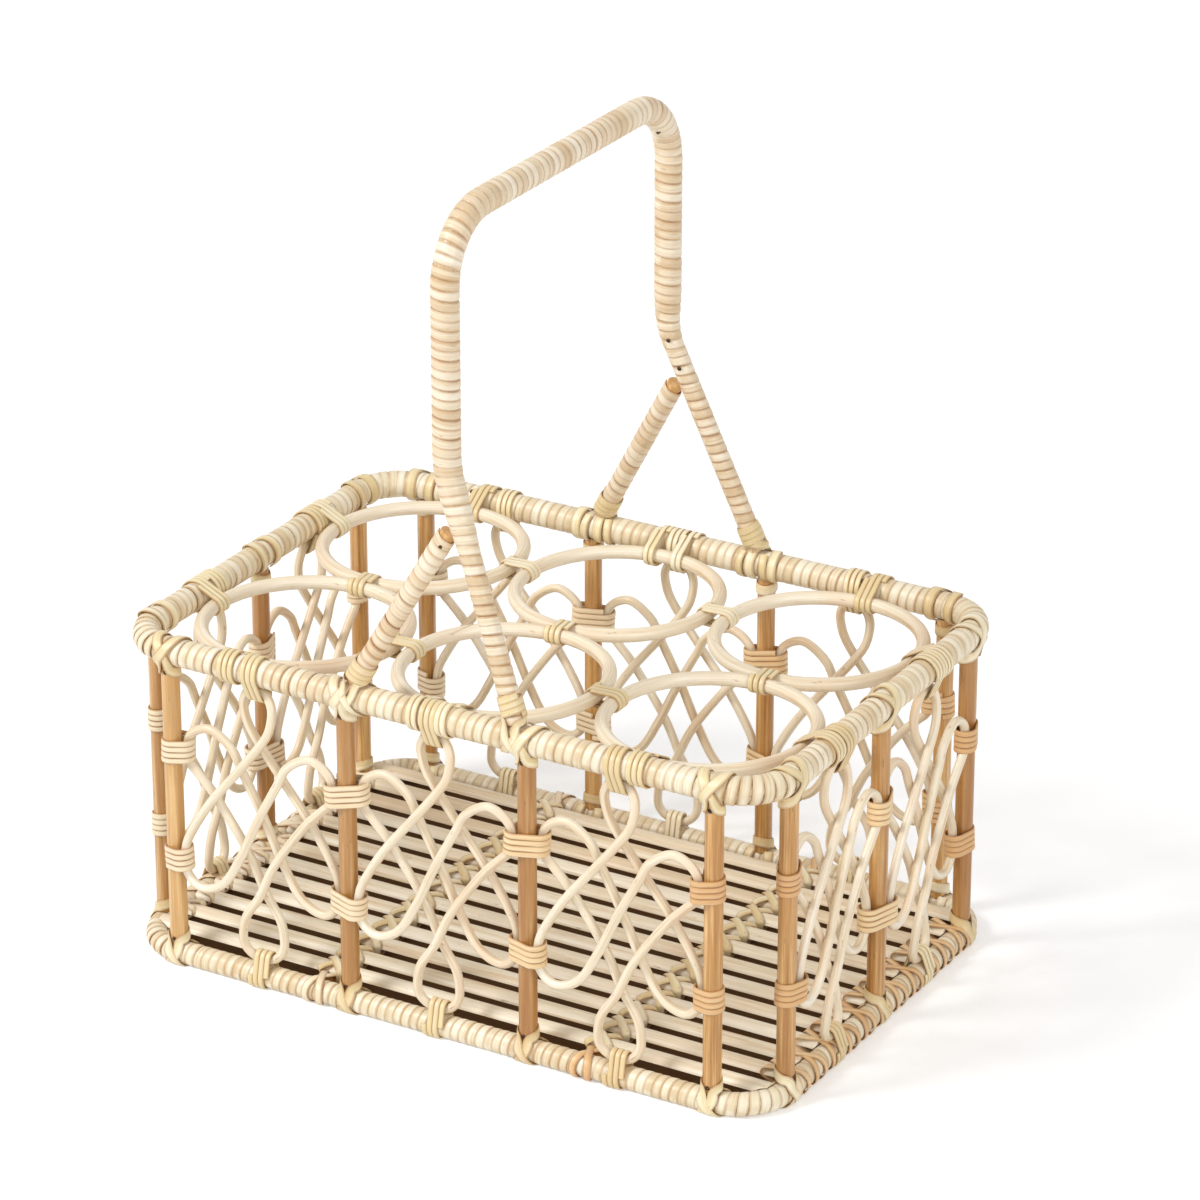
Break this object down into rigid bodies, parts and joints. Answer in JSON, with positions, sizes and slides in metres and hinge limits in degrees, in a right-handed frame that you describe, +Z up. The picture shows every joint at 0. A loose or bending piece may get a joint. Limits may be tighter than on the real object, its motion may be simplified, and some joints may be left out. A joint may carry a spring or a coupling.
{
  "type": "bottle carrier",
  "caption": "Rounded carrier of bent cane: hoops on posts, interlaced scroll sides, slatted floor, bottle rings inside the rim and a tall arched handle that forks to both long sides.",
  "frame": {"origin": "middle of the foot, on the surface that the base hoop rests on", "axes": "+X along the length, the front with its full fork faces -Y, +Z up along the handle's legs"},
  "size_m": [0.305, 0.2082, 0.3469],
  "materials": {
    "wound_cane": "satin, close winding of split cane",
    "post_cane": "satin, darker core cane",
    "pale_cane": "satin, pale skinned cane",
    "split_cane": "satin, split cane with the skin up",
    "binding_cane": "satin, thin flat binding cane"
  },
  "bodies": {
    "root": {"base_hoop": "wound_cane", "top_rim": "wound_cane", "rim_winding": "wound_cane", "handle_hoop": "wound_cane", "handle_strut_front": "wound_cane", "handle_strut_back": "wound_cane", "handle_wrap": "wound_cane", "post_front_1": "post_cane", "post_front_2": "post_cane", "post_front_3": "post_cane", "post_front_4": "post_cane", "post_back_1": "post_cane", "post_back_2": "post_cane", "post_back_3": "post_cane", "post_back_4": "post_cane", "post_left_1": "post_cane", "post_left_2": "post_cane", "post_left_3": "post_cane", "post_right_1": "post_cane", "post_right_2": "post_cane", "post_right_3": "post_cane", "ring_front_left": "pale_cane", "ring_front_middle": "pale_cane", "ring_front_right": "pale_cane", "ring_back_left": "pale_cane", "ring_back_middle": "pale_cane", "ring_back_right": "pale_cane", "scroll_front_left": "pale_cane", "scroll_front_middle": "pale_cane", "scroll_front_right": "pale_cane", "scroll_back_left": "pale_cane", "scroll_back_middle": "pale_cane", "scroll_back_right": "pale_cane", "scroll_left_front": "pale_cane", "scroll_left_back": "pale_cane", "scroll_right_front": "pale_cane", "scroll_right_back": "pale_cane", "slat_1": "split_cane", "slat_2": "split_cane", "slat_3": "split_cane", "slat_4": "split_cane", "slat_5": "split_cane", "slat_6": "split_cane", "slat_7": "split_cane", "slat_8": "split_cane", "slat_9": "split_cane", "slat_10": "split_cane", "slat_11": "split_cane", "slat_12": "split_cane", "slat_13": "split_cane", "bearer_left": "post_cane", "bearer_right": "post_cane", "slat_lashing_left": "binding_cane", "slat_lashing_right": "binding_cane", "post_bindings_upper": "binding_cane", "post_bindings_lower": "binding_cane", "top_loop_bindings": "binding_cane", "bottom_loop_bindings": "binding_cane", "ring_bindings": "binding_cane", "handle_bindings": "binding_cane"}
  },
  "joints": []
}
